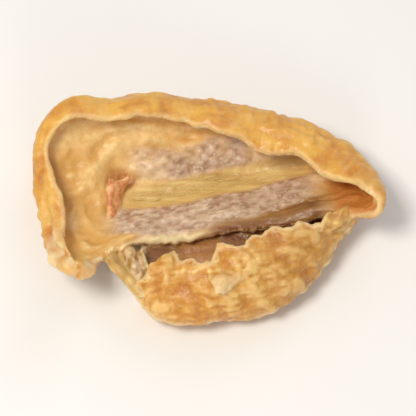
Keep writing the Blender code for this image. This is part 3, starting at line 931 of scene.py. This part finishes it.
bits = bpy.data.node_groups.new("scattered_bits", "GeometryNodeTree")
for name, kind in (
    ("Flesh", "NodeSocketGeometry"),
    ("Zone", "NodeSocketString"),
    ("Density", "NodeSocketFloat"),
    ("Smallest", "NodeSocketVector"),
    ("Largest", "NodeSocketVector"),
    ("Seed", "NodeSocketInt"),
    ("Material", "NodeSocketMaterial"),
):
    bits.interface.new_socket(name=name, in_out="INPUT", socket_type=kind)
bits.interface.new_socket(name="Bits", in_out="OUTPUT", socket_type="NodeSocketGeometry")
given = add(bits, "NodeGroupInput").outputs
zone = add(bits, "GeometryNodeInputNamedAttribute", {"Name": given["Zone"]}, data_type="FLOAT").outputs[0]
dense = {"Value": zone, "From Min": 0.5, "To Max": given["Density"]}
density = add(bits, "ShaderNodeMapRange", dense).outputs["Result"]
spread = {"Mesh": given["Flesh"], "Density": density, "Seed": given["Seed"]}
spots = add(bits, "GeometryNodeDistributePointsOnFaces", spread)
turn = {"Rotation": spots.outputs["Rotation"], "Vector": (*FIBRE_WAY, 0)}
turned = add(bits, "FunctionNodeAlignRotationToVector", turn, axis="X", pivot_axis="Z").outputs[0]
sizes = {0: given["Smallest"], 1: given["Largest"], "Seed": given["Seed"]}
size = add(bits, "FunctionNodeRandomValue", sizes, data_type="FLOAT_VECTOR").outputs[0]
bead = add(bits, "GeometryNodeMeshUVSphere", {"Segments": 6, "Rings": 5, "Radius": 1.0}).outputs[0]
laid = {"Points": spots.outputs["Points"], "Instance": bead, "Rotation": turned, "Scale": size}
instances = add(bits, "GeometryNodeInstanceOnPoints", laid).outputs[0]
real = add(bits, "GeometryNodeRealizeInstances", {"Geometry": instances}).outputs[0]
done = add(bits, "GeometryNodeSetMaterial", {"Geometry": real, "Material": given["Material"]}).outputs[0]
add(bits, "NodeGroupOutput", {"Bits": done})

for name, (zone, hex_colour, density, smallest, largest, seed) in BITS.items():
    dry = bpy.data.materials.new("dry_" + name)
    dry.use_nodes = True
    surface = dry.node_tree.nodes["Principled BSDF"]
    surface.inputs["Base Color"].default_value = linear(hex_colour)
    surface.inputs["Roughness"].default_value = 0.7
    values = {
        "Zone": zone,
        "Density": density / MM**2,
        "Smallest": [v * MM for v in smallest],
        "Largest": [v * MM for v in largest],
        "Seed": seed,
        "Material": dry,
    }
    scatter = flesh.modifiers.new(name, "NODES")
    scatter.node_group = bits
    for item in bits.interface.items_tree:
        if item.name in values:
            scatter[item.identifier] = values[item.name]
    bpy.context.view_layer.update()
    graph = bpy.context.evaluated_depsgraph_get()
    mesh = bpy.data.meshes.new_from_object(flesh.evaluated_get(graph))
    flesh.modifiers.remove(scatter)
    piece = bpy.data.objects.new(name, mesh)
    bpy.context.scene.collection.objects.link(piece)
    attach(piece, "root")
    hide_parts("persimmon_slice")

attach(flesh, "root")
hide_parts("persimmon_slice")

# The floor: a plain sheet of pale matt card, so wide that its edges stay out of the picture. The slice lies
# loose on it, on its flat spot.
bpy.ops.mesh.primitive_plane_add(size=4.0)
ground = bpy.context.object
ground.name = "pale_floor"
card = bpy.data.materials.new("matt_pale_card")
card.use_nodes = True
card.node_tree.nodes["Principled BSDF"].inputs["Base Color"].default_value = linear("#f2f0ec")
card.node_tree.nodes["Principled BSDF"].inputs["Roughness"].default_value = 0.85
ground.data.materials.append(card)
ground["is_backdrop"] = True

# The studio: an even white sky all round, and three soft square lamps. The key lamp is high on the left, a
# wide weaker one stands behind on the right, and a low one in front opens the shadow under the lip.
world = bpy.data.worlds.new("soft_studio")
bpy.context.scene.world = world
world.use_nodes = True
world.node_tree.nodes["Background"].inputs["Color"].default_value = linear("#ffffff")
world.node_tree.nodes["Background"].inputs["Strength"].default_value = 0.40


def lamp(name, place, size, power, colour):
    """A square soft lamp that faces the slice."""
    light = bpy.data.lights.new(name, "AREA")
    light.size = size
    light.energy = power
    light.color = linear(colour)[:3]
    obj = bpy.data.objects.new(name, light)
    bpy.context.scene.collection.objects.link(obj)
    obj.location = place
    obj.rotation_euler = (-Vector(place)).to_track_quat("-Z", "Y").to_euler()


lamp("key_lamp", (-0.16, -0.08, 0.42), 0.14, 1.25, "#fffaf2")
lamp("back_lamp", (0.20, 0.34, 0.30), 0.30, 0.45, "#f6f8ff")
lamp("front_lamp", (0.06, -0.42, 0.20), 0.12, 0.35, "#fffaf2")

# The camera looks down on the slice at the photograph's angle, through a long lens and from far enough that
# the slice hardly tapers. It aims at half the slice's height.
CAMERA_ELEVATION = 65.0
CAMERA_DISTANCE = 0.398
CAMERA_LENS = 200.0
CAMERA_TARGET_HEIGHT = 0.0075

bpy.context.scene.view_settings.view_transform = "Standard"
camera = bpy.data.objects.new("camera", bpy.data.cameras.new("camera"))
bpy.context.scene.collection.objects.link(camera)
camera.data.lens = CAMERA_LENS
tilt = math.radians(CAMERA_ELEVATION)
target = Vector((0, 0, CAMERA_TARGET_HEIGHT))
away = Vector((0, -math.cos(tilt), math.sin(tilt)))
camera.location = target + away * CAMERA_DISTANCE
camera.rotation_euler = (-away).to_track_quat("-Z", "Y").to_euler()
bpy.context.scene.camera = camera

seen_low, seen_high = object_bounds()
sizes = {"cad": [list(cad_low), list(cad_high)], "visual": [list(seen_low), list(seen_high)]}
